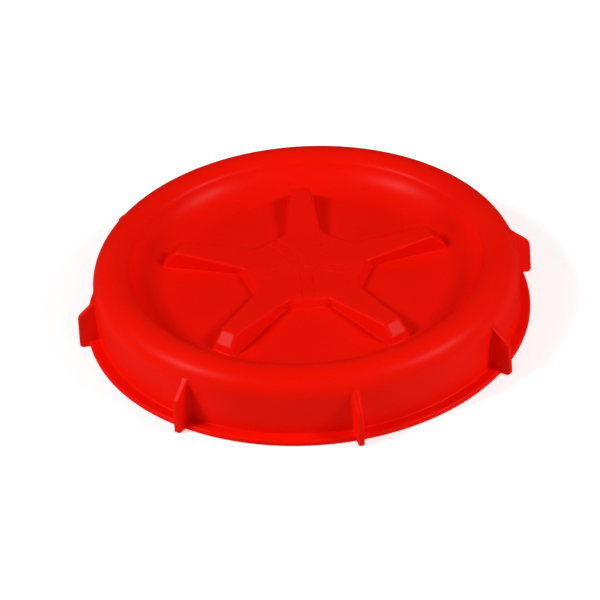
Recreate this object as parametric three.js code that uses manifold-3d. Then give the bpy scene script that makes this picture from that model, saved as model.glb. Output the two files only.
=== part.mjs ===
// Screw lid of a tumbling barrel: one moulded plastic shell and the rubber ring that seals it.
// Millimetres, +Z up. The origin is the centre of the flange's underside, and one arm of the
// raised star points along +Y.
import * as THREE from 'three';
import { mergeVertices } from 'three/addons/utils/BufferGeometryUtils.js';
import Module from 'manifold-3d';

// ---- driving dimensions -------------------------------------------------------------------
const WALL = 2.8;                 // moulded wall thickness
const FACETS = 60;                // sides of every round shape

const FLANGE_RADIUS = 100;
const FLANGE_HEIGHT = 2.5;
const FLANGE_ROUND = 1.0;         // radius of the flange's top outer edge

const SKIRT_FOOT_RADIUS = 95.0;   // outside of the skirt where it stands on the flange
const SKIRT_FOOT_FILLET = 0.8;
const MOUTH_LEAD_IN = 0.6;        // how much wider the open mouth is than the skirt's inside

const RIM_CENTRE_RADIUS = 85.7;   // centre line of the rounded rim
const RIM_CENTRE_Z = 20.5;
const RIM_ROUND = 9.8;            // outer radius of the rim's section

const DISH_CROWN_Z = 19.9;        // top of the sunken panel at its centre
const DISH_FALL = 0.00078;        // the panel falls by this times the radius squared
const DISH_RADIUS = 61.4;         // where the panel turns up into the dish wall
const DISH_FILLET = 17;           // radius of the dish wall, which meets the rim in a crease

const STAR_ARMS = 5;
const HUB_APOTHEM_TOP = 25.7;     // centre to the flat between two arms, at the hub's top
const HUB_APOTHEM_FOOT = 27.6;
const HUB_TOP_Z = 23.3;
const FLAT_TO_CORNER = 18;        // degrees from the middle of a hub flat to its corner
const ARM_START_RADIUS = 12;      // hidden inside the hub
const ARM_NEAR = { radius: 28, topZ: 23.3, topHalf: 7.7, footHalf: 7.9 };
const ARM_FAR = { radius: 60, topZ: 25.0, topHalf: 4.4, footHalf: 6.0 };
const ARM_BEVEL = 4.7;            // run and drop of the slope at the arm's end
const ARM_END_DRAFT = 1.6;        // how far the steep end leans outwards at the panel
const STAR_SINK = 1.5;            // how far the star's solids reach into the panel
const PANEL_RINGS = 3;

const LUGS = 8;
const LUG_START_ANGLE = 10;       // degrees from +X to the first lug
const LUG_THICKNESS = 2.8;
const LUG_FOOT_RADIUS = 104.4;     // the outer edge leans outwards towards the flange
const LUG_RADIUS = 103.8;
const LUG_CORNER_Z = 15.9;        // top of the lug's outer edge
const LUG_TOP_Z = 23.2;           // where the lug's slope meets the rim
const LUG_TOP_RADIUS = 95.2;
const LUG_TOE_ROUND = 1.2;

const THREAD_PITCH = 7;
const THREAD_TURNS = 1.6;
const THREAD_START_Z = 3.6;
const THREAD_DEPTH = 1.7;
const THREAD_FOOT_HALF = 1.7;
const THREAD_CREST_HALF = 0.7;
const THREAD_SINK = 0.8;          // how far the thread's root reaches into the skirt
const THREAD_RUNOUT = 25;         // degrees over which each end of the thread fades

const GASKET_GAP = 0.3;           // clearance between the ring and its channel
const GASKET_FACE_Z = 22.5;       // flat sealing face of the ring
const GASKET_INNER_RADIUS = 81.8;

const MERGE_DISTANCE = 1e-4;      // vertices closer than this are one vertex

// ---- small helpers --------------------------------------------------------------------------
const radians = THREE.MathUtils.degToRad;
const lerp = THREE.MathUtils.lerp;
const wasm = await Module();
wasm.setup();

function arcPoints(centreX, centreY, radius, fromDegrees, toDegrees, steps) {
  const points = [];
  for (let i = 0; i <= steps; i += 1) {
    const angle = radians(lerp(fromDegrees, toDegrees, i / steps));
    const x = centreX + radius * Math.cos(angle);
    const y = centreY + radius * Math.sin(angle);
    points.push(new THREE.Vector2(x, y));
  }
  return points;
}

function toSolid(geometry) {
  const bare = geometry.index ? geometry.toNonIndexed() : geometry.clone();
  bare.deleteAttribute('normal');
  bare.deleteAttribute('uv');
  const merged = mergeVertices(bare, MERGE_DISTANCE);
  const vertProperties = Float32Array.from(merged.attributes.position.array);
  const triVerts = Uint32Array.from(merged.index.array);
  return new wasm.Manifold(new wasm.Mesh({ numProp: 3, vertProperties, triVerts }));
}

function toGeometry(solid) {
  const mesh = solid.getMesh();
  const geometry = new THREE.BufferGeometry();
  geometry.setAttribute('position', new THREE.BufferAttribute(mesh.vertProperties, 3));
  geometry.setIndex(new THREE.BufferAttribute(mesh.triVerts, 1));
  geometry.computeVertexNormals();
  return geometry;
}

// A closed (radius, z) outline turned about the Z axis.
function turned(outline) {
  const geometry = new THREE.LatheGeometry(outline, FACETS);
  geometry.rotateX(Math.PI / 2);
  return geometry;
}

// Extrudes a (radius, z) outline to a width of -1..1 and lets place() set each vertex.
function warpedExtrusion(outline, place) {
  const geometry = new THREE.ExtrudeGeometry(new THREE.Shape(outline), {
    depth: 2,
    bevelEnabled: false,
  });
  const position = geometry.attributes.position;
  const point = new THREE.Vector3();
  for (let i = 0; i < position.count; i += 1) {
    point.fromBufferAttribute(position, i);
    place(point.x, point.y, 1 - point.z, point);
    position.setXYZ(i, point.x, point.y, point.z);
  }
  return geometry;
}

// ---- the turned shell: flange, skirt, rim, dish wall and panel ------------------------------
const dishZ = (radius) => DISH_CROWN_Z - DISH_FALL * radius * radius;
const dishSlopeDegrees = THREE.MathUtils.radToDeg(Math.atan(2 * DISH_FALL * DISH_RADIUS));
const dishCentre = new THREE.Vector2(
  DISH_RADIUS + DISH_FILLET * Math.sin(radians(dishSlopeDegrees)),
  dishZ(DISH_RADIUS) + DISH_FILLET * Math.cos(radians(dishSlopeDegrees)),
);
const rimCentre = new THREE.Vector2(RIM_CENTRE_RADIUS, RIM_CENTRE_Z);

// Where a round of the dish wall meets a round of the rim, as degrees about each centre.
function creaseAngles(dishRound, rimRound) {
  const span = rimCentre.clone().sub(dishCentre);
  const distance = span.length();
  const bearing = THREE.MathUtils.radToDeg(Math.atan2(span.y, span.x));
  const toDish = (distance ** 2 + dishRound ** 2 - rimRound ** 2) / (2 * distance * dishRound);
  const toRim = (distance ** 2 + rimRound ** 2 - dishRound ** 2) / (2 * distance * rimRound);
  return {
    dish: bearing + THREE.MathUtils.radToDeg(Math.acos(toDish)),
    rim: bearing + 180 - THREE.MathUtils.radToDeg(Math.acos(toRim)),
  };
}

// Height of the panel or of the dish wall around it.
function panelZ(radius) {
  if (radius < DISH_RADIUS) {
    return dishZ(radius);
  }
  return dishCentre.y - Math.sqrt(DISH_FILLET ** 2 - (radius - dishCentre.x) ** 2);
}

function panelPoints(offset) {
  const points = [];
  for (let i = 0; i < PANEL_RINGS; i += 1) {
    const radius = (DISH_RADIUS * i) / PANEL_RINGS;
    points.push(new THREE.Vector2(radius, dishZ(radius) - offset));
  }
  return points;
}

function topPoints() {
  const round = FLANGE_ROUND;
  const foot = SKIRT_FOOT_FILLET;
  const crease = creaseAngles(DISH_FILLET, RIM_ROUND);
  return [
    ...arcPoints(FLANGE_RADIUS - round, FLANGE_HEIGHT - round, round, 0, 90, 2),
    ...arcPoints(SKIRT_FOOT_RADIUS + foot, FLANGE_HEIGHT + foot, foot, 270, 180, 1),
    ...arcPoints(rimCentre.x, rimCentre.y, RIM_ROUND, 0, crease.rim, 11),
    ...arcPoints(dishCentre.x, dishCentre.y, DISH_FILLET, crease.dish, -90 - dishSlopeDegrees, 7).slice(1),
    ...panelPoints(0).reverse(),
  ];
}

function undersidePoints() {
  const dishRound = DISH_FILLET + WALL;
  const rimRound = RIM_ROUND - WALL;
  const crease = creaseAngles(dishRound, rimRound);
  return [
    ...panelPoints(WALL),
    ...arcPoints(dishCentre.x, dishCentre.y, dishRound, -90 - dishSlopeDegrees, crease.dish, 7),
    ...arcPoints(rimCentre.x, rimCentre.y, rimRound, crease.rim, 0, 7).slice(1),
    new THREE.Vector2(SKIRT_FOOT_RADIUS - WALL, FLANGE_HEIGHT),
    new THREE.Vector2(SKIRT_FOOT_RADIUS - WALL + MOUTH_LEAD_IN, 0),
    new THREE.Vector2(FLANGE_RADIUS, 0),
  ];
}

function shellSolid() {
  return toSolid(turned([...undersidePoints(), ...topPoints()]));
}

// ---- the raised star ------------------------------------------------------------------------
// inset is 0 for the star's outside and WALL for the hollow beneath it.
function hubSolid(inset) {
  const corners = [];
  for (let arm = 0; arm < STAR_ARMS; arm += 1) {
    const flat = 90 + (360 / STAR_ARMS) * (arm + 0.5);
    for (const side of [-FLAT_TO_CORNER, FLAT_TO_CORNER]) {
      const angle = radians(flat + side);
      corners.push(new THREE.Vector2(Math.cos(angle), Math.sin(angle)));
    }
  }
  const cornerScale = 1 / Math.cos(radians(FLAT_TO_CORNER));
  const topRadius = (HUB_APOTHEM_TOP - inset) * cornerScale;
  const footRadius = (HUB_APOTHEM_FOOT - inset) * cornerScale;
  const topZ = HUB_TOP_Z - inset;
  const footZ = dishZ(HUB_APOTHEM_FOOT) - (inset > 0 ? WALL + STAR_SINK : STAR_SINK);
  return toSolid(warpedExtrusion(corners, (x, y, side, out) => {
    const radius = side < 0 ? topRadius : footRadius;
    out.set(x * radius, y * radius, side < 0 ? topZ : footZ);
  }));
}

function armSolid(inset, azimuth) {
  const sink = inset > 0 ? WALL + STAR_SINK : STAR_SINK;
  const along = (radius) => (radius - ARM_NEAR.radius) / (ARM_FAR.radius - ARM_NEAR.radius);
  const topZ = (radius) => lerp(ARM_NEAR.topZ, ARM_FAR.topZ, along(radius)) - inset;
  const endRadius = ARM_FAR.radius - inset;
  const bevelEnd = endRadius + ARM_BEVEL;
  const footEnd = bevelEnd + ARM_END_DRAFT;
  const startZ = panelZ(ARM_START_RADIUS) - sink;
  const footSlope = (panelZ(footEnd) - sink - startZ) / (footEnd - ARM_START_RADIUS);
  const footZ = (radius) => startZ + footSlope * (radius - ARM_START_RADIUS);
  const outline = [
    new THREE.Vector2(ARM_START_RADIUS, startZ),
    new THREE.Vector2(footEnd, footZ(footEnd)),
    new THREE.Vector2(bevelEnd, topZ(endRadius) - ARM_BEVEL),
    new THREE.Vector2(endRadius, topZ(endRadius)),
    new THREE.Vector2(ARM_START_RADIUS, topZ(ARM_START_RADIUS)),
  ];
  const geometry = warpedExtrusion(outline, (radius, z, side, out) => {
    const rise = (z - footZ(radius)) / (topZ(radius) - footZ(radius));
    const foot = lerp(ARM_NEAR.footHalf, ARM_FAR.footHalf, along(radius)) - inset;
    const top = lerp(ARM_NEAR.topHalf, ARM_FAR.topHalf, along(radius)) - inset;
    out.set(radius, side * lerp(foot, top, rise), z);
  });
  geometry.rotateZ(radians(azimuth));
  return toSolid(geometry);
}

function starSolid(inset) {
  let star = hubSolid(inset);
  for (let arm = 0; arm < STAR_ARMS; arm += 1) {
    star = star.add(armSolid(inset, 90 + (360 / STAR_ARMS) * arm));
  }
  return star;
}

// ---- gripping lugs --------------------------------------------------------------------------
function lugSolid(azimuth) {
  const rootRadius = SKIRT_FOOT_RADIUS - WALL / 2;
  const toe = LUG_TOE_ROUND;
  const outline = [
    new THREE.Vector2(rootRadius, 0),
    ...arcPoints(LUG_FOOT_RADIUS - toe, toe, toe, 270, 360, 2),
    new THREE.Vector2(LUG_RADIUS, LUG_CORNER_Z),
    new THREE.Vector2(LUG_TOP_RADIUS, LUG_TOP_Z),
    new THREE.Vector2(rootRadius, LUG_TOP_Z),
  ];
  const geometry = warpedExtrusion(outline, (radius, z, side, out) => {
    out.set(radius, (side * LUG_THICKNESS) / 2, z);
  });
  geometry.rotateZ(radians(azimuth));
  return toSolid(geometry);
}

// ---- internal thread ------------------------------------------------------------------------
// A right-hand ridge inside the skirt, built ring by ring: four corners to each section.
function threadSolid() {
  const wallRadius = SKIRT_FOOT_RADIUS - WALL;
  const steps = Math.round(FACETS * THREAD_TURNS);
  const positions = [];
  const indices = [];
  for (let i = 0; i <= steps; i += 1) {
    const turn = (360 * THREAD_TURNS * i) / steps;
    const fade = Math.min(1, turn / THREAD_RUNOUT, (360 * THREAD_TURNS - turn) / THREAD_RUNOUT);
    const crest = wallRadius - lerp(-THREAD_SINK / 2, THREAD_DEPTH, fade);
    const centreZ = THREAD_START_Z + (THREAD_PITCH * turn) / 360;
    const section = [
      [wallRadius + THREAD_SINK, centreZ - THREAD_FOOT_HALF],
      [wallRadius + THREAD_SINK, centreZ + THREAD_FOOT_HALF],
      [crest, centreZ + THREAD_CREST_HALF],
      [crest, centreZ - THREAD_CREST_HALF],
    ];
    for (const [radius, z] of section) {
      positions.push(radius * Math.cos(radians(turn)), radius * Math.sin(radians(turn)), z);
    }
  }
  for (let i = 0; i < steps; i += 1) {
    for (let side = 0; side < 4; side += 1) {
      const a = 4 * i + side;
      const b = 4 * i + ((side + 1) % 4);
      indices.push(a, a + 4, b, b, a + 4, b + 4);
    }
  }
  const last = 4 * steps;
  indices.push(0, 1, 2, 0, 2, 3);
  indices.push(last, last + 2, last + 1, last, last + 3, last + 2);
  const geometry = new THREE.BufferGeometry();
  geometry.setAttribute('position', new THREE.Float32BufferAttribute(positions, 3));
  geometry.setIndex(indices);
  return toSolid(geometry);
}

// ---- the two pieces -------------------------------------------------------------------------
function lidShell() {
  let solid = shellSolid().add(starSolid(0)).subtract(starSolid(WALL));
  for (let lug = 0; lug < LUGS; lug += 1) {
    solid = solid.add(lugSolid(LUG_START_ANGLE + (360 / LUGS) * lug));
  }
  solid = solid.add(threadSolid());
  const material = new THREE.MeshStandardMaterial({ color: 0xdc1408, roughness: 0.35 });
  const mesh = new THREE.Mesh(toGeometry(solid), material);
  mesh.name = 'lid_shell';
  return mesh;
}

// A ring with a domed back that fills the rim's channel above a flat sealing face.
function sealingGasket() {
  const round = RIM_ROUND - WALL - GASKET_GAP;
  const degreesFromOutside = (sine) => THREE.MathUtils.radToDeg(Math.asin(sine / round));
  const faceAngle = degreesFromOutside(GASKET_FACE_Z - RIM_CENTRE_Z);
  const shoulder = 90 + degreesFromOutside(RIM_CENTRE_RADIUS - GASKET_INNER_RADIUS);
  const outline = [
    new THREE.Vector2(GASKET_INNER_RADIUS, GASKET_FACE_Z),
    ...arcPoints(rimCentre.x, rimCentre.y, round, faceAngle, shoulder, 7),
    new THREE.Vector2(GASKET_INNER_RADIUS, GASKET_FACE_Z),
  ];
  const material = new THREE.MeshStandardMaterial({ color: 0x161616, roughness: 0.8 });
  const mesh = new THREE.Mesh(toGeometry(toSolid(turned(outline))), material);
  mesh.name = 'sealing_gasket';
  return mesh;
}

const lid = new THREE.Group();
lid.add(lidShell(), sealingGasket());

export default lid;
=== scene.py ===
"""Looks of the screw lid: the red moulding with its star, rim, lugs and thread, and the rubber ring.

Lengths named in capitals are millimetres unless they say otherwise; meshes are made in metres.
"""

import math

import bpy
import numpy as np
from mathutils import Matrix, Vector


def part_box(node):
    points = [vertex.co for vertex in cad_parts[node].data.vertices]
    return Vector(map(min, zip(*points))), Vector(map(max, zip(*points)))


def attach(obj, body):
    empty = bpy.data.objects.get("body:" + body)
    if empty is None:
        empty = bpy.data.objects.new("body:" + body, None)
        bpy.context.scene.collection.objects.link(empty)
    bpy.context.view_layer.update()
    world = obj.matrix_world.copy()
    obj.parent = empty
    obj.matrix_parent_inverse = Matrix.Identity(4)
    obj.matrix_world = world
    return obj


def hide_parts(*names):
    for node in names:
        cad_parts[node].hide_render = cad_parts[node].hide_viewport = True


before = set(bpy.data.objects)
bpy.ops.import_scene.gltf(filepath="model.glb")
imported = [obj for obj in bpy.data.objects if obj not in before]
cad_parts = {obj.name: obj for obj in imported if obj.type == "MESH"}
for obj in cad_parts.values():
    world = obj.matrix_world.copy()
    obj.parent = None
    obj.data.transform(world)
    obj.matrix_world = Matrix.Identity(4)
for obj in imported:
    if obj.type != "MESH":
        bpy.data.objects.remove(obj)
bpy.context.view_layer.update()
shell_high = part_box("lid_shell")[1]
ring_low, ring_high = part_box("sealing_gasket")

MM = 0.001
FULL_TURN = 2 * math.pi

# ---- the turned shell ---------------------------------------------------------------------
WALL = 2.8
FLANGE_RADIUS = 100.0
FLANGE_HEIGHT = 2.5
FLANGE_ROUND = 1.0
FLANGE_BOTTOM_ROUND = 0.3
SKIRT_FOOT_RADIUS = 95.0
SKIRT_FOOT_FILLET = 0.8
MOUTH_LEAD_IN = 0.6
RIM_CENTRE_RADIUS = 85.7
RIM_CENTRE_Z = 20.5
RIM_ROUND = shell_high.z / MM - RIM_CENTRE_Z
CREASE_ROUND = 0.9                # how far the dish wall's crease at the rim is softened
DISH_CROWN_Z = 19.9
DISH_FALL = 0.00078               # the panel falls by this times the radius squared
DISH_RADIUS = 61.4                # where the panel turns up into the dish wall
DISH_FILLET = 17.0
PANEL_JOIN_RADIUS = 69.0          # ring where the star's mesh meets the turned rows
UNDER_JOIN_RADIUS = 66.5

# ---- the star -----------------------------------------------------------------------------
ARMS = 5
FIRST_ARM_ANGLE = 90.0
HUB_APOTHEM_TOP = 25.7
HUB_APOTHEM_FOOT = 27.6
HUB_TOP_Z = 23.3
ARM_NEAR_X = 28.0
ARM_FAR_X = 60.0
ARM_NEAR_HALF = (7.7, 7.9)        # half width at the top and at the foot
ARM_FAR_HALF = (4.4, 6.0)
ARM_RISE = 1.7                    # how much higher the arm's top is at its end than at the hub
ARM_RISE_BLEND = 0.8
ARM_BEVEL = 4.7
ARM_END_DRAFT = 1.6
BEVEL_FOOT_BLEND = 0.5            # half the depth over which the bevel turns into the steep end
END_STEPS, CONVEX_STEPS, SIDE_STEPS, CONCAVE_STEPS, FLAT_STEPS = 5, 6, 12, 6, 16
HALF_STEPS = END_STEPS + CONVEX_STEPS + SIDE_STEPS + CONCAVE_STEPS + FLAT_STEPS
COLUMNS = 2 * HALF_STEPS * ARMS
FILLET_STEPS = 6
WALL_SHARES = (0.15, 0.3, 0.42, 0.48, 0.54, 0.6, 0.66, 0.78, 0.9)
FLOOR_STEPS = 18
FLOOR_CROWDING = 1.3              # over 1 puts more of the panel's rows close to the star

# corner sizes of the star's outside and of the hollow beneath it
STAR_OUTSIDE = {
    "inset": 0.0, "convex": 2.0, "concave": 1.8, "top_depth": 1.1, "top_pull": 1.4,
    "end_pull": 0.9, "foot_rise": 0.45, "foot_push": 0.4, "plateau": 0.5,
}
STAR_HOLLOW = {
    "inset": WALL, "convex": 0.3, "concave": 0.9, "top_depth": 0.2, "top_pull": 0.2,
    "end_pull": 0.25, "foot_rise": 0.5, "foot_push": 0.5, "plateau": 0.15,
}

# ---- lugs, thread and ring ----------------------------------------------------------------
LUGS = 8
LUG_START_ANGLE = 10.0
LUG_HALF_THICKNESS = 1.4
LUG_EDGE_HALF_THICKNESS = 1.28
LUG_FOOT_RADIUS = 104.4           # the outer edge leans outwards from the corner to the foot
LUG_RADIUS = 103.8
LUG_CORNER_Z = 15.9
LUG_TOP_Z = 23.2
LUG_TOP_RADIUS = 95.2
LUG_TOE_ROUND = 1.2
LUG_CORNER_BLEND = 1.5
LUG_EDGE_ROUND = 0.7
LUG_FLARE = 1.0                   # fillet where a lug grows out of the skirt
LUG_FLANGE_FILLET = 0.5
LUG_ROOT_RADIUS = 93.6
LUG_ROOT_SINK = 0.12              # how far the fillet starts inside the skirt
LUG_TOP_SPARE = 1.2               # how far the slope goes on inside the rim

THREAD_PITCH = 7.0
THREAD_TURNS = 1.6
THREAD_START_Z = 3.6
THREAD_DEPTH = 1.7
THREAD_FOOT_HALF = 1.7
THREAD_CREST_HALF = 0.7
THREAD_SINK = 0.8
THREAD_RUNOUT = 25.0              # degrees over which each end of the thread fades
THREAD_CREST_ROUND = 0.35

RAY_OFFSET = 2.65                 # each hub flat has two fine lines, this far from its middle
RAY_WIDTH = 0.9
RAY_DEPTH = 0.22
RAY_START = 5.5
RAY_END = 24.5
GATE_RADIUS = 1.3
GATE_HEIGHT = 0.18
GATE_FOOT_RADIUS = 1.25 * GATE_RADIUS
GATE_SINK = 0.5                   # how deep the mark's foot goes into the hub
GATE_COLUMNS = 36

RING_GAP = 0.3                    # between the ring's back and the underside of the rim
RING_INNER_RADIUS = 81.8
RING_EDGE = 0.5
RING_GROOVE_HALF = 0.9            # half width of the groove in the sealing face
RING_GROOVE_FLOOR_HALF = 0.6
RING_GROOVE_DEPTH = 0.25
RING_COLUMNS = 288

SHELL_SMOOTH_ANGLE = 38           # degrees; sharper edges stay crisp
RING_SMOOTH_ANGLE = 40


def lerp(a, b, t):
    return a + (b - a) * t


def arc(centre, radius, start, end, steps):
    """Points of a circle from start to end degrees."""
    angles = np.radians(np.linspace(start, end, steps + 1))
    return [(centre[0] + radius * math.cos(a), centre[1] + radius * math.sin(a)) for a in angles]


def bend(start, corner, end, steps):
    """A rounded corner: the curve from start to end that leaves and arrives towards corner."""
    points = []
    for t in np.linspace(0, 1, steps + 1):
        weights = ((1 - t) ** 2, 2 * t * (1 - t), t * t)
        ends = (start, corner, end)
        points.append(tuple(sum(w * p[i] for w, p in zip(weights, ends)) for i in (0, 1)))
    return points


def towards(start, end, distance):
    """The point that far from start on the way to end."""
    start, end = np.array(start, float), np.array(end, float)
    return tuple(start + (end - start) * distance / np.linalg.norm(end - start))


def dish_z(radius):
    return DISH_CROWN_Z - DISH_FALL * radius * radius


# the panel's slope where it turns up, and the middle of the round it turns up with
DISH_SLOPE = math.atan(2 * DISH_FALL * DISH_RADIUS)
DISH_CENTRE = (
    DISH_RADIUS + DISH_FILLET * math.sin(DISH_SLOPE),
    dish_z(DISH_RADIUS) + DISH_FILLET * math.cos(DISH_SLOPE),
)
RIM_CENTRE = (RIM_CENTRE_RADIUS, RIM_CENTRE_Z)


def panel_z(radius, depth):
    """Height of the panel, and of the dish wall round it, at a depth below their upper face."""
    dome = dish_z(radius) - depth
    beside = np.minimum(np.abs(radius - DISH_CENTRE[0]), DISH_FILLET)
    wall = DISH_CENTRE[1] - np.sqrt((DISH_FILLET + depth) ** 2 - beside ** 2)
    return np.where(radius < DISH_RADIUS, dome, wall)


def crease_angles(dish_round, rim_round):
    """Where a round of the dish wall meets a round of the rim, in degrees about each centre."""
    span = (RIM_CENTRE[0] - DISH_CENTRE[0], RIM_CENTRE[1] - DISH_CENTRE[1])
    distance = math.hypot(*span)
    bearing = math.degrees(math.atan2(span[1], span[0]))
    to_dish = (distance ** 2 + dish_round ** 2 - rim_round ** 2) / (2 * distance * dish_round)
    to_rim = (distance ** 2 + rim_round ** 2 - dish_round ** 2) / (2 * distance * rim_round)
    return (
        bearing + math.degrees(math.acos(to_dish)),
        bearing + 180 - math.degrees(math.acos(to_rim)),
    )


# ---- star outline rows --------------------------------------------------------------------
def arm_top_z(x, inset):
    """Height of the star's top at x along an arm: level over the hub, then rising outwards."""
    beyond = np.minimum(x + inset, ARM_FAR_X) - ARM_NEAR_X
    blended = np.where(
        np.abs(beyond) < ARM_RISE_BLEND,
        (beyond + ARM_RISE_BLEND) ** 2 / (4 * ARM_RISE_BLEND),
        np.maximum(beyond, 0),
    )
    return HUB_TOP_Z - inset + ARM_RISE * blended / (ARM_FAR_X - ARM_NEAR_X)


def arm_end_x(depth, inset):
    """How far out the arm's end reaches at a depth below its top: a bevel, then a steep face."""
    end_height = arm_top_z(ARM_FAR_X, inset) - panel_z(ARM_FAR_X + ARM_BEVEL, inset)
    steepness = ARM_END_DRAFT / (end_height - ARM_BEVEL)
    past = depth - ARM_BEVEL
    if past <= -BEVEL_FOOT_BLEND:
        run = depth
    elif past >= BEVEL_FOOT_BLEND:
        run = ARM_BEVEL + steepness * past
    else:
        turned_in = (past + BEVEL_FOOT_BLEND) ** 2 / (4 * BEVEL_FOOT_BLEND)
        run = depth - (1 - steepness) * turned_in
    return ARM_FAR_X - inset + run


def half_outline(end_x, near_half, far_half, apothem, convex, concave):
    """Half of one star point, from the middle of the arm's end to the middle of the hub's flat."""
    slope = (far_half - near_half) / (ARM_FAR_X - ARM_NEAR_X)
    normal = (math.cos(math.pi / ARMS), math.sin(math.pi / ARMS))
    corner = (end_x, near_half + slope * (end_x - ARM_NEAR_X))
    offset = near_half - slope * ARM_NEAR_X
    hub_x = (apothem - offset * normal[1]) / (normal[0] + slope * normal[1])
    hub_corner = (hub_x, offset + slope * hub_x)
    flat_middle = (apothem * normal[0], apothem * normal[1])
    end_middle = (end_x, 0.0)
    convex_in = towards(corner, end_middle, min(convex, 0.8 * corner[1]))
    convex_out = towards(corner, hub_corner, convex)
    concave_in = towards(hub_corner, corner, concave)
    concave_out = towards(hub_corner, flat_middle, concave)

    def line(a, b, steps):
        return [tuple(lerp(np.array(a), np.array(b), t)) for t in np.linspace(0, 1, steps + 1)]

    pieces = [
        line(end_middle, convex_in, END_STEPS),
        bend(convex_in, corner, convex_out, CONVEX_STEPS),
        line(convex_out, concave_in, SIDE_STEPS),
        bend(concave_in, hub_corner, concave_out, CONCAVE_STEPS),
        line(concave_out, flat_middle, FLAT_STEPS),
    ]
    points = [end_middle]
    for piece in pieces:
        points.extend(piece[1:])
    return np.array(points)


def full_ring(half):
    """Repeats half a star point, rows of x, y, z, round all the arms, anticlockwise."""
    ring = []
    mirrored = half * np.array((1, -1, 1))
    for arm in range(ARMS):
        for points, angle in (
            (half[:HALF_STEPS], arm),
            (mirrored[HALF_STEPS:0:-1], arm + 1),
        ):
            turn = math.radians(FIRST_ARM_ANGLE) + FULL_TURN * angle / ARMS
            x = points[:, 0] * math.cos(turn) - points[:, 1] * math.sin(turn)
            y = points[:, 0] * math.sin(turn) + points[:, 1] * math.cos(turn)
            ring.append(np.column_stack((x, y, points[:, 2])))
    return np.vstack(ring)


def star_rows(sizes):
    """Rings of points from the star's top down to the panel round its foot."""
    inset = sizes["inset"]

    def floor_z(radius):
        return panel_z(radius, inset)

    end_foot = ARM_FAR_X + ARM_BEVEL + ARM_END_DRAFT - inset
    height = {
        "near": arm_top_z(ARM_NEAR_X, inset) - floor_z(ARM_NEAR_X),
        "far": arm_top_z(ARM_FAR_X, inset) - floor_z(ARM_FAR_X),
        "hub": HUB_TOP_Z - inset - floor_z(HUB_APOTHEM_FOOT),
        "end": arm_top_z(ARM_FAR_X, inset) - floor_z(end_foot),
    }
    top, foot = sizes["top_depth"], sizes["foot_rise"]

    def outline(depth_of, offset, end_offset):
        share = {place: depth_of(h) / h for place, h in height.items()}
        return half_outline(
            arm_end_x(depth_of(height["end"]), inset) + end_offset,
            lerp(*ARM_NEAR_HALF, share["near"]) - inset + offset,
            lerp(*ARM_FAR_HALF, share["far"]) - inset + offset,
            lerp(HUB_APOTHEM_TOP, HUB_APOTHEM_FOOT, share["hub"]) - inset + offset,
            sizes["convex"],
            sizes["concave"],
        )

    rows = []

    def add_top(plan, depth):
        z = arm_top_z(plan[:, 0], inset) - depth
        rows.append(np.column_stack((plan, z)))

    def add_foot(plan, rise):
        z = floor_z(np.hypot(plan[:, 0], plan[:, 1])) + rise
        rows.append(np.column_stack((plan, z)))

    margin = sizes["plateau"]
    add_top(outline(lambda h: 0.0, -sizes["top_pull"] - margin, -sizes["end_pull"] - margin), 0.0)
    for t in np.linspace(0, 1, FILLET_STEPS + 1):
        depth = top * t * t
        left = (1 - t) ** 2
        plan = outline(lambda h: depth, -left * sizes["top_pull"], -left * sizes["end_pull"])
        add_top(plan, depth)
    for share in WALL_SHARES:
        plan = outline(lambda h: lerp(top, h - foot, share), 0.0, 0.0)
        radius = np.hypot(plan[:, 0], plan[:, 1])
        clear = arm_top_z(plan[:, 0], inset) - floor_z(radius)
        add_top(plan, lerp(top, clear - foot, share))
    for t in np.linspace(0, 1, FILLET_STEPS + 1):
        rise = foot * (1 - t) ** 2
        push = sizes["foot_push"] * t * t
        add_foot(outline(lambda h: h - rise, push, push), rise)
    return [full_ring(row) for row in rows]


def floor_rows(foot_ring, join_radius, inset):
    """Rings on the domed panel between the star's foot and the turned rows."""
    radius = np.hypot(foot_ring[:, 0], foot_ring[:, 1])
    angle = np.arctan2(foot_ring[:, 1], foot_ring[:, 0])
    rows = []
    for step in range(1, FLOOR_STEPS):
        r = lerp(radius, join_radius, (step / FLOOR_STEPS) ** FLOOR_CROWDING)
        rows.append(np.column_stack((r * np.cos(angle), r * np.sin(angle), panel_z(r, inset))))
    return rows


# ---- the turned profile -------------------------------------------------------------------
def angle_at(radius, dish_round):
    """Degrees about the dish wall's centre of the point of its round at that radius."""
    return math.degrees(math.asin((radius - DISH_CENTRE[0]) / dish_round)) - 90


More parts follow.
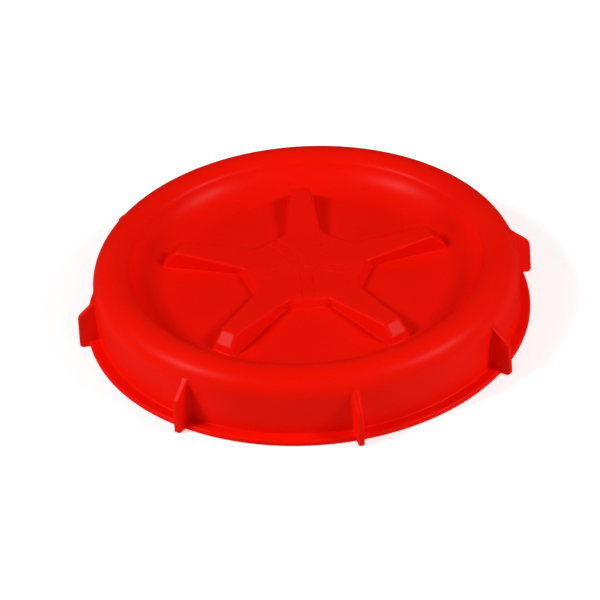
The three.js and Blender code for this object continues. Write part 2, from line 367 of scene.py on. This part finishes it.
def turned_profile():
    """Radius and height from the dish wall's foot, over the rim and flange, and back underneath."""
    dish_end, rim_end = crease_angles(DISH_FILLET, RIM_ROUND)
    crease = arc(RIM_CENTRE, RIM_ROUND, rim_end, rim_end, 0)[0]
    dish_wall = arc(
        DISH_CENTRE, DISH_FILLET,
        angle_at(PANEL_JOIN_RADIUS, DISH_FILLET),
        dish_end - math.degrees(CREASE_ROUND / DISH_FILLET), 22,
    )
    rim_start = arc(RIM_CENTRE, RIM_ROUND, rim_end - math.degrees(CREASE_ROUND / RIM_ROUND), 0, 44)
    skirt_top = (RIM_CENTRE_RADIUS + RIM_ROUND, RIM_CENTRE_Z)
    foot = SKIRT_FOOT_FILLET
    skirt_foot = (SKIRT_FOOT_RADIUS, FLANGE_HEIGHT + foot)
    low = FLANGE_BOTTOM_ROUND
    mouth = SKIRT_FOOT_RADIUS - WALL
    under_dish, under_rim = crease_angles(DISH_FILLET + WALL, RIM_ROUND - WALL)

    def between(a, b, steps):
        return [tuple(lerp(np.array(a), np.array(b), t)) for t in np.linspace(0, 1, steps + 1)[1:-1]]

    flange_top_centre = (FLANGE_RADIUS - FLANGE_ROUND, FLANGE_HEIGHT - FLANGE_ROUND)
    points = dish_wall[:-1]
    points += bend(dish_wall[-1], crease, rim_start[0], 6)[:-1]
    points += rim_start
    points += between(skirt_top, skirt_foot, 8)
    points += arc((skirt_foot[0] + foot, skirt_foot[1]), foot, 180, 270, 5)
    flange_top = (flange_top_centre[0], FLANGE_HEIGHT)
    points += between((SKIRT_FOOT_RADIUS + foot, FLANGE_HEIGHT), flange_top, 3)
    points += arc(flange_top_centre, FLANGE_ROUND, 90, 0, 6)
    points += arc((FLANGE_RADIUS - low, low), low, 0, -90, 3)
    points += between((FLANGE_RADIUS - low, 0), (mouth + MOUTH_LEAD_IN + low, 0), 3)
    points += arc((mouth + MOUTH_LEAD_IN + low, low), low, 270, 180, 3)
    points += [(mouth, FLANGE_HEIGHT)]
    inner = RIM_ROUND - WALL
    points += between((mouth, FLANGE_HEIGHT), (RIM_CENTRE_RADIUS + inner, RIM_CENTRE_Z), 9)
    points += arc(RIM_CENTRE, inner, 0, under_rim, 28)
    points += arc(
        DISH_CENTRE, DISH_FILLET + WALL,
        under_dish, angle_at(UNDER_JOIN_RADIUS, DISH_FILLET + WALL), 22,
    )[1:]
    return points


def ring_on(angles, radius, z):
    return np.column_stack((radius * np.cos(angles), radius * np.sin(angles), np.full(len(angles), z)))


# ---- mesh making --------------------------------------------------------------------------
def mesh_object(name, vertices, faces):
    mesh = bpy.data.meshes.new(name)
    mesh.from_pydata([tuple(v * MM) for v in np.asarray(vertices, float)], [], faces)
    mesh.validate()
    made = bpy.data.objects.new(name, mesh)
    bpy.context.scene.collection.objects.link(made)
    return made


def ring_faces(rows, columns, closed=True):
    """Quads between each ring of points and the next."""
    faces = []
    last = columns if closed else columns - 1
    for row in range(rows - 1):
        for column in range(last):
            beside = (column + 1) % columns
            a, b = row * columns, (row + 1) * columns
            faces.append((a + column, b + column, b + beside, a + beside))
    return faces


def plateau_faces(first, upward):
    """Closes the innermost star ring: strips over the arms, their end caps and the hub."""
    side_start = END_STEPS + CONVEX_STEPS
    side_end = side_start + SIDE_STEPS
    per_arm = 2 * HALF_STEPS

    def index(arm, step):
        return first + (arm * per_arm + step) % COLUMNS

    faces, hub = [], []
    for arm in range(ARMS):
        for step in range(side_start, side_end):
            faces.append((
                index(arm, step), index(arm, step + 1),
                index(arm, -step - 1), index(arm, -step),
            ))
        faces.append([index(arm, step) for step in range(-side_start, side_start + 1)])
        hub += [index(arm, step) for step in range(side_end, per_arm - side_end + 1)]
    faces.append(hub)
    return faces if upward else [tuple(reversed(f)) for f in faces]


def shell_object():
    top = star_rows(STAR_OUTSIDE)
    under = star_rows(STAR_HOLLOW)
    angles = np.unwrap(np.arctan2(top[-1][:, 1], top[-1][:, 0]))
    turned = [ring_on(angles, r, z) for r, z in turned_profile()]
    rows = top + floor_rows(top[-1], PANEL_JOIN_RADIUS, 0.0) + turned
    rows += list(reversed(under + floor_rows(under[-1], UNDER_JOIN_RADIUS, WALL)))
    faces = ring_faces(len(rows), COLUMNS)
    faces += plateau_faces(0, True)
    faces += plateau_faces((len(rows) - 1) * COLUMNS, False)
    return mesh_object("lid_moulding", np.vstack(rows), faces)


# ---- lugs ---------------------------------------------------------------------------------
def lug_reach(z):
    """Outer radius of a lug at height z: a rounded toe, a leaning edge and a slope to the rim."""
    slope = (LUG_TOP_RADIUS - LUG_RADIUS) / (LUG_TOP_Z - LUG_CORNER_Z)
    lean = (LUG_RADIUS - LUG_FOOT_RADIUS) / (LUG_CORNER_Z - LUG_TOE_ROUND)
    past = z - LUG_CORNER_Z
    if z < LUG_TOE_ROUND:
        below = LUG_TOE_ROUND - z
        return LUG_FOOT_RADIUS - LUG_TOE_ROUND + math.sqrt(max(LUG_TOE_ROUND ** 2 - below ** 2, 0))
    if past <= -LUG_CORNER_BLEND:
        return LUG_RADIUS + lean * past
    if past >= LUG_CORNER_BLEND:
        return LUG_RADIUS + slope * past
    turned = (past + LUG_CORNER_BLEND) ** 2 / (4 * LUG_CORNER_BLEND)
    return LUG_RADIUS + lean * (past - turned) + slope * turned


def skirt_radius(z):
    if z > RIM_CENTRE_Z:
        return RIM_CENTRE_RADIUS + math.sqrt(max(RIM_ROUND ** 2 - (z - RIM_CENTRE_Z) ** 2, 0))
    share = (z - FLANGE_HEIGHT) / (RIM_CENTRE_Z - FLANGE_HEIGHT)
    return lerp(SKIRT_FOOT_RADIUS, RIM_CENTRE_RADIUS + RIM_ROUND, max(share, 0))


def lug_section(z):
    """Half of a lug's outline at height z, from inside the wall to the middle of its outer edge."""
    reach, skirt = lug_reach(z), skirt_radius(z)
    flare = LUG_FLARE
    room = max(reach - skirt, 0.2)
    edge_round = min(LUG_EDGE_ROUND, room * 0.6)
    flare_run = min(flare, room * 0.5)

    def half_at(x):
        share = (x - SKIRT_FOOT_RADIUS) / (LUG_RADIUS - SKIRT_FOOT_RADIUS)
        return lerp(LUG_HALF_THICKNESS, LUG_EDGE_HALF_THICKNESS, min(max(share, 0), 1))

    root_half = half_at(skirt) + flare
    points = [(LUG_ROOT_RADIUS, root_half), (skirt - LUG_ROOT_SINK, root_half)]
    start = (skirt, root_half)
    points += bend(start, (skirt, half_at(skirt)), (skirt + flare_run, half_at(skirt + flare_run)), 5)
    side_start, side_end = skirt + flare_run, reach - edge_round
    for t in np.linspace(0, 1, 6)[1:-1]:
        x = lerp(side_start, side_end, t)
        points.append((x, half_at(x)))
    half = half_at(side_end)
    points += bend((side_end, half), (reach, half), (reach, half - edge_round), 5)
    points.append((reach, 0.0))
    made = []
    for x, y in points:
        above_flange = z - FLANGE_HEIGHT
        near_flange = max(0.0, 1 - max(above_flange, 0) / LUG_FLANGE_FILLET) ** 2
        on_flange = min(max((FLANGE_RADIUS - x) / LUG_FLANGE_FILLET, 0), 1)
        made.append((x, y + LUG_FLANGE_FILLET * near_flange * on_flange * (y > 0)))
    return made


def lug_levels():
    toe = [LUG_TOE_ROUND * (1 - math.cos(a)) for a in np.linspace(0, math.pi / 2, 6)]
    flange = [FLANGE_HEIGHT + LUG_FLANGE_FILLET * t for t in (-0.2, 0, 0.15, 0.35, 0.6, 1.0)]
    corner_foot, corner_top = LUG_CORNER_Z - LUG_CORNER_BLEND, LUG_CORNER_Z + LUG_CORNER_BLEND
    edge = list(np.linspace(FLANGE_HEIGHT + 1.5, corner_foot, 7))
    corner = list(np.linspace(corner_foot, corner_top, 7))[1:]
    slope = list(np.linspace(corner[-1], LUG_TOP_Z + LUG_TOP_SPARE, 12))[1:]
    return toe + flange + edge + corner + slope


def lugs_object():
    levels = lug_levels()
    vertices, faces = [], []
    for lug in range(LUGS):
        turn = math.radians(LUG_START_ANGLE) + FULL_TURN * lug / LUGS
        first = len(vertices)
        for z in levels:
            half = lug_section(z)
            loop = [(x, -y) for x, y in half] + [(x, y) for x, y in reversed(half[:-1])]
            for x, y in loop:
                vertices.append((
                    x * math.cos(turn) - y * math.sin(turn),
                    x * math.sin(turn) + y * math.cos(turn),
                    z,
                ))
        size = len(loop)
        for row in range(len(levels) - 1):
            for column in range(size):
                beside = (column + 1) % size
                a, b = first + row * size, first + (row + 1) * size
                faces.append((a + column, a + beside, b + beside, b + column))
        faces.append([first + i for i in reversed(range(size))])
        top = first + (len(levels) - 1) * size
        faces.append([top + i for i in range(size)])
    return mesh_object("lugs", vertices, faces)


# ---- thread, hub lines and gate mark --------------------------------------------------------
def thread_object():
    wall = SKIRT_FOOT_RADIUS - WALL
    steps = int(180 * THREAD_TURNS)
    vertices = []
    for step in range(steps + 1):
        turn = 360 * THREAD_TURNS * step / steps
        edge = min(1.0, turn / THREAD_RUNOUT, (360 * THREAD_TURNS - turn) / THREAD_RUNOUT)
        fade = edge * edge * (3 - 2 * edge)
        crest = wall - lerp(-THREAD_SINK / 2, THREAD_DEPTH, fade)
        z = THREAD_START_Z + THREAD_PITCH * turn / 360
        root = wall + THREAD_SINK
        soft = THREAD_CREST_ROUND
        section = [(root, -THREAD_FOOT_HALF)]
        section += bend(
            towards((crest, -THREAD_CREST_HALF), (root, -THREAD_FOOT_HALF), soft),
            (crest, -THREAD_CREST_HALF), (crest, -THREAD_CREST_HALF + soft), 4)
        section += [(x, -h) for x, h in reversed(section[1:])]
        section += [(root, THREAD_FOOT_HALF)]
        angle = math.radians(turn)
        for radius, height in section:
            vertices.append((radius * math.cos(angle), radius * math.sin(angle), z + height))
    size = len(section)
    faces = []
    for row in range(steps):
        for column in range(size):
            beside = (column + 1) % size
            a, b = row * size, (row + 1) * size
            faces.append((a + column, a + beside, b + beside, b + column))
    faces.append(list(reversed(range(size))))
    faces.append([steps * size + i for i in range(size)])
    return mesh_object("thread", vertices, faces)


def ray_cutters():
    """Rounded bars that cut two fine lines into the hub towards each of its flats."""
    vertices, faces = [], []
    outline = [(-0.5, 1.0), (-0.5, 0.0)]
    outline += [(0.5 * math.sin(a), -math.cos(a)) for a in np.linspace(-1.2, 1.2, 7)]
    outline += [(0.5, 0.0), (0.5, 1.0)]
    for flat in range(ARMS):
        turn = math.radians(FIRST_ARM_ANGLE) + FULL_TURN * (flat + 0.5) / ARMS
        for side in (-1, 1):
            first = len(vertices)
            for x in (RAY_START, RAY_END):
                for across, up in outline:
                    y = side * RAY_OFFSET + across * RAY_WIDTH
                    z = HUB_TOP_Z + up * RAY_DEPTH
                    vertices.append((
                        x * math.cos(turn) - y * math.sin(turn),
                        x * math.sin(turn) + y * math.cos(turn),
                        z,
                    ))
            size = len(outline)
            for i in range(size):
                j = (i + 1) % size
                faces.append((first + i, first + j, first + size + j, first + size + i))
            faces.append([first + i for i in reversed(range(size))])
            faces.append([first + size + i for i in range(size)])
    return mesh_object("ray_cutters", vertices, faces)


def gate_mark():
    """A low round button with a sunken middle where the moulding was filled."""
    crest = (GATE_RADIUS * 0.9, HUB_TOP_Z + GATE_HEIGHT)
    profile = [(GATE_FOOT_RADIUS, HUB_TOP_Z - GATE_SINK), (GATE_FOOT_RADIUS, HUB_TOP_Z - 0.02)]
    profile += bend((GATE_RADIUS * 1.2, HUB_TOP_Z), (GATE_RADIUS, HUB_TOP_Z), crest, 5)
    profile += [(GATE_RADIUS * 0.45, HUB_TOP_Z + GATE_HEIGHT * 0.8)]
    count = GATE_COLUMNS
    angles = np.linspace(0, FULL_TURN, count, endpoint=False)
    rows = [ring_on(angles, r, z) for r, z in profile]
    faces = []
    for face in ring_faces(len(rows), count):
        faces.append(tuple(reversed(face)))
    last = (len(rows) - 1) * count
    faces.append([last + i for i in range(count)])
    faces.append([i for i in reversed(range(count))])
    return mesh_object("gate_mark", np.vstack(rows), faces)


def combine(base, other, operation):
    """Joins or cuts base with other, and removes other."""
    modifier = base.modifiers.new("combine", "BOOLEAN")
    modifier.operation = operation
    modifier.solver = "MANIFOLD"
    modifier.object = other
    evaluated = base.evaluated_get(bpy.context.evaluated_depsgraph_get())
    result = bpy.data.meshes.new_from_object(evaluated)
    base.modifiers.clear()
    base.data = result
    bpy.data.objects.remove(other)


def smooth(piece, degrees):
    for polygon in piece.data.polygons:
        polygon.use_smooth = True
    piece.data.set_sharp_from_angle(angle=math.radians(degrees))


def lid_moulding():
    lid = shell_object()
    combine(lid, lugs_object(), "UNION")
    combine(lid, thread_object(), "UNION")
    combine(lid, ray_cutters(), "DIFFERENCE")
    combine(lid, gate_mark(), "UNION")
    smooth(lid, SHELL_SMOOTH_ANGLE)
    return lid


# ---- the rubber ring ------------------------------------------------------------------------
def rubber_ring():
    """A ring with a domed back, a flat grooved sealing face and soft edges."""
    inner, outer = RING_INNER_RADIUS, ring_high.x / MM
    face_z = ring_low.z / MM
    round_radius = RIM_ROUND - WALL - RING_GAP
    shoulder = math.degrees(math.acos((inner - RIM_CENTRE_RADIUS) / round_radius))
    face_angle = math.degrees(math.asin((face_z - RIM_CENTRE_Z) / round_radius))
    edge = math.degrees(RING_EDGE / round_radius)
    back = arc(RIM_CENTRE, round_radius, face_angle + edge, shoulder - edge, 20)
    corner = arc(RIM_CENTRE, round_radius, face_angle, shoulder, 1)
    outline = bend((corner[0][0] - RING_EDGE, face_z), corner[0], back[0], 4)[:-1]
    outline += back
    outline += bend(back[-1], corner[1], (inner, corner[1][1] - RING_EDGE), 4)[1:]
    outline += bend((inner, face_z + RING_EDGE), (inner, face_z), (inner + RING_EDGE, face_z), 4)
    middle = (inner + outer) / 2
    groove_z = face_z + RING_GROOVE_DEPTH
    outline += [(middle - RING_GROOVE_HALF, face_z), (middle - RING_GROOVE_FLOOR_HALF, groove_z)]
    outline += [(middle + RING_GROOVE_FLOOR_HALF, groove_z), (middle + RING_GROOVE_HALF, face_z)]
    count = RING_COLUMNS
    angles = np.linspace(0, FULL_TURN, count, endpoint=False)
    rows = [ring_on(angles, r, z) for r, z in outline]
    size = len(outline)
    faces = []
    for row in range(size):
        following = (row + 1) % size
        for column in range(count):
            beside = (column + 1) % count
            faces.append((
                row * count + column, row * count + beside,
                following * count + beside, following * count + column,
            ))
    made = mesh_object("rubber_ring", np.vstack(rows), faces)
    smooth(made, RING_SMOOTH_ANGLE)
    return made


# ---- materials ------------------------------------------------------------------------------
RED_DEEP, RED_BRIGHT = (0.84, 0.0046, 0.0003), (0.88, 0.0056, 0.0005)
RUBBER_DARK, RUBBER_BLOOM = (0.012, 0.012, 0.013), (0.03, 0.03, 0.031)
FLOOR_GREY, FLOOR_PALE = (0.86, 0.86, 0.86), (0.88, 0.88, 0.88)


def new_material(name):
    material = bpy.data.materials.new(name)
    material.use_nodes = True
    tree = material.node_tree
    return material, tree, tree.nodes["Principled BSDF"]


def noise(tree, scale, detail=2.0, roughness=0.5):
    """Solid noise in object coordinates; scale is in cycles per metre."""
    coordinates = tree.nodes.new("ShaderNodeTexCoord")
    texture = tree.nodes.new("ShaderNodeTexNoise")
    texture.inputs["Scale"].default_value = scale
    texture.inputs["Detail"].default_value = detail
    texture.inputs["Roughness"].default_value = roughness
    tree.links.new(coordinates.outputs["Object"], texture.inputs["Vector"])
    return texture.outputs["Fac"]


def ranged(tree, value, low, high, to_low, to_high):
    node = tree.nodes.new("ShaderNodeMapRange")
    node.inputs["From Min"].default_value = low
    node.inputs["From Max"].default_value = high
    node.inputs["To Min"].default_value = to_low
    node.inputs["To Max"].default_value = to_high
    tree.links.new(value, node.inputs["Value"])
    return node.outputs["Result"]


def mixed_colour(tree, factor, a, b):
    """A mix of two colours; the mix node's colour sockets share their names and go by number."""
    node = tree.nodes.new("ShaderNodeMix")
    node.data_type = "RGBA"
    node.inputs[6].default_value = (*a, 1)
    node.inputs[7].default_value = (*b, 1)
    tree.links.new(factor, node.inputs[0])
    return node.outputs[2]


def bumps(tree, shader, layers):
    """Chains bump nodes; each layer is a height and its distance in metres."""
    normal = None
    for height, distance, strength in layers:
        node = tree.nodes.new("ShaderNodeBump")
        node.inputs["Distance"].default_value = distance
        node.inputs["Strength"].default_value = strength
        tree.links.new(height, node.inputs["Height"])
        if normal is not None:
            tree.links.new(normal, node.inputs["Normal"])
        normal = node.outputs["Normal"]
    tree.links.new(normal, shader.inputs["Normal"])


def red_plastic():
    material, tree, shader = new_material("red_plastic")
    cloudy = noise(tree, 22, 3.0)
    fine = noise(tree, 2600, 2.0)
    ripple = noise(tree, 160, 2.0)
    tint = ranged(tree, cloudy, 0.3, 0.7, 0.0, 1.0)
    colour = mixed_colour(tree, tint, RED_DEEP, RED_BRIGHT)
    tree.links.new(colour, shader.inputs["Base Color"])
    patchy = noise(tree, 55, 4.0, 0.6)
    tree.links.new(ranged(tree, patchy, 0.3, 0.7, 0.33, 0.38), shader.inputs["Roughness"])
    shader.inputs["IOR"].default_value = 1.5
    shader.inputs["Specular IOR Level"].default_value = 0.05
    bumps(tree, shader, [(ripple, 0.00004, 0.5), (fine, 0.00001, 0.35)])
    return material


def black_rubber():
    material, tree, shader = new_material("black_rubber")
    grain = noise(tree, 3800, 3.0, 0.6)
    cloudy = noise(tree, 60, 3.0)
    bloom = ranged(tree, cloudy, 0.35, 0.75, 0.0, 1.0)
    colour = mixed_colour(tree, bloom, RUBBER_DARK, RUBBER_BLOOM)
    tree.links.new(colour, shader.inputs["Base Color"])
    tree.links.new(ranged(tree, grain, 0.3, 0.7, 0.55, 0.75), shader.inputs["Roughness"])
    bumps(tree, shader, [(grain, 0.00003, 0.6)])
    return material


def floor_finish():
    material, tree, shader = new_material("studio_floor")
    faint = noise(tree, 6, 2.0)
    colour = mixed_colour(tree, faint, FLOOR_GREY, FLOOR_PALE)
    tree.links.new(colour, shader.inputs["Base Color"])
    shader.inputs["Roughness"].default_value = 0.9
    shader.inputs["Specular IOR Level"].default_value = 0.2
    shader.inputs["Emission Color"].default_value = (1, 1, 1, 1)
    shader.inputs["Emission Strength"].default_value = 0.45
    return material


# ---- the stage --------------------------------------------------------------------------------
CAMERA_ELEVATION = 35.70
CAMERA_AZIMUTH = -90.5
CAMERA_DISTANCE = 1.1545          # metres from the middle of the flange's underside
CAMERA_LENS = 153.2
CAMERA_ROLL = -3.52
CAMERA_SHIFT = (-0.014, 0.0118333)
FLOOR_DROP = 0.0002               # metres
SIDE_DISTANCE = 1.5               # metres, as are the boxes' widths and heights
FRONT_DISTANCE = 1.6              # metres
SIDE_BOX = (0.34, 0.34)
FRONT_BOX = (1.2, 1.0)
LOW_BOX = (1.0, 0.25)
FLOOR_REACH = 3000.0
FLOOR_CELLS = 40


def spherical(azimuth, elevation, distance):
    a, e = math.radians(azimuth), math.radians(elevation)
    return Vector((math.cos(e) * math.cos(a), math.cos(e) * math.sin(a), math.sin(e))) * distance


def add_camera():
    data = bpy.data.cameras.new("camera")
    camera = bpy.data.objects.new("camera", data)
    bpy.context.scene.collection.objects.link(camera)
    place = spherical(CAMERA_AZIMUTH, CAMERA_ELEVATION, CAMERA_DISTANCE)
    camera.location = place
    camera.rotation_mode = "QUATERNION"
    aim = (-place).to_track_quat("-Z", "Y")
    roll = Matrix.Rotation(math.radians(CAMERA_ROLL), 3, "Z").to_quaternion()
    camera.rotation_quaternion = aim @ roll
    data.lens = CAMERA_LENS
    data.shift_x, data.shift_y = CAMERA_SHIFT
    data.clip_start, data.clip_end = 0.05, 20
    bpy.context.scene.camera = camera


def add_softbox(name, azimuth, elevation, distance, size, power, mirrored=True):
    """A rectangular light that faces the object; only a mirrored one shows in the gloss."""
    data = bpy.data.lights.new(name, "AREA")
    data.shape = "RECTANGLE"
    data.size, data.size_y = size
    data.energy = power
    light = bpy.data.objects.new(name, data)
    bpy.context.scene.collection.objects.link(light)
    light.location = spherical(azimuth, elevation, distance)
    light.rotation_mode = "QUATERNION"
    light.rotation_quaternion = (-light.location).to_track_quat("-Z", "Y")
    light.visible_glossy = mirrored


def add_world(above, below, gloss):
    """White fill from above and below; the one below stands for what a pale floor throws back.

    Glossy rays see a dark room instead, so that the softboxes stay the brightest things in them.
    """
    world = bpy.data.worlds.new("studio")
    bpy.context.scene.world = world
    world.use_nodes = True
    tree = world.node_tree
    background = tree.nodes["Background"]
    background.inputs["Color"].default_value = (1, 1, 1, 1)
    direction = tree.nodes.new("ShaderNodeTexCoord")
    height = tree.nodes.new("ShaderNodeSeparateXYZ")
    tree.links.new(direction.outputs["Generated"], height.inputs["Vector"])
    fill = ranged(tree, height.outputs["Z"], -0.15, 0.15, below, above)
    path = tree.nodes.new("ShaderNodeLightPath")
    strength = tree.nodes.new("ShaderNodeMix")
    strength.inputs["B"].default_value = gloss
    tree.links.new(path.outputs["Is Glossy Ray"], strength.inputs["Factor"])
    tree.links.new(fill, strength.inputs["A"])
    tree.links.new(strength.outputs["Result"], background.inputs["Strength"])


def add_floor():
    line = np.linspace(-FLOOR_REACH, FLOOR_REACH, FLOOR_CELLS + 1)
    vertices = [(x, y, -FLOOR_DROP / MM) for y in line for x in line]
    faces = []
    for row in range(FLOOR_CELLS):
        for column in range(FLOOR_CELLS):
            a = row * (FLOOR_CELLS + 1) + column
            faces.append((a, a + 1, a + FLOOR_CELLS + 2, a + FLOOR_CELLS + 1))
    floor = mesh_object("studio_floor", np.array(vertices), faces)
    floor.data.materials.append(floor_finish())
    floor.visible_glossy = False
    floor.visible_diffuse = False


lid = lid_moulding()
lid.data.materials.clear()
lid.data.materials.append(red_plastic())
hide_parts("lid_shell")
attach(lid, "root")

ring = rubber_ring()
ring.data.materials.append(black_rubber())
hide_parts("sealing_gasket")
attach(ring, "root")

add_camera()
add_floor()
add_world(above=0.17, below=0.75, gloss=0.01)
add_softbox("softbox_left", -165, 40, SIDE_DISTANCE, SIDE_BOX, 12.5)
add_softbox("softbox_right", -18, 39, SIDE_DISTANCE, SIDE_BOX, 10)
add_softbox("softbox_front", -75, 36, FRONT_DISTANCE, FRONT_BOX, 1.7, mirrored=False)
add_softbox("softbox_low_left", -150, 9, SIDE_DISTANCE, LOW_BOX, 3.1, mirrored=False)
add_softbox("softbox_low_right", -30, 9, SIDE_DISTANCE, LOW_BOX, 3.1, mirrored=False)
bpy.context.scene.view_settings.view_transform = "Standard"
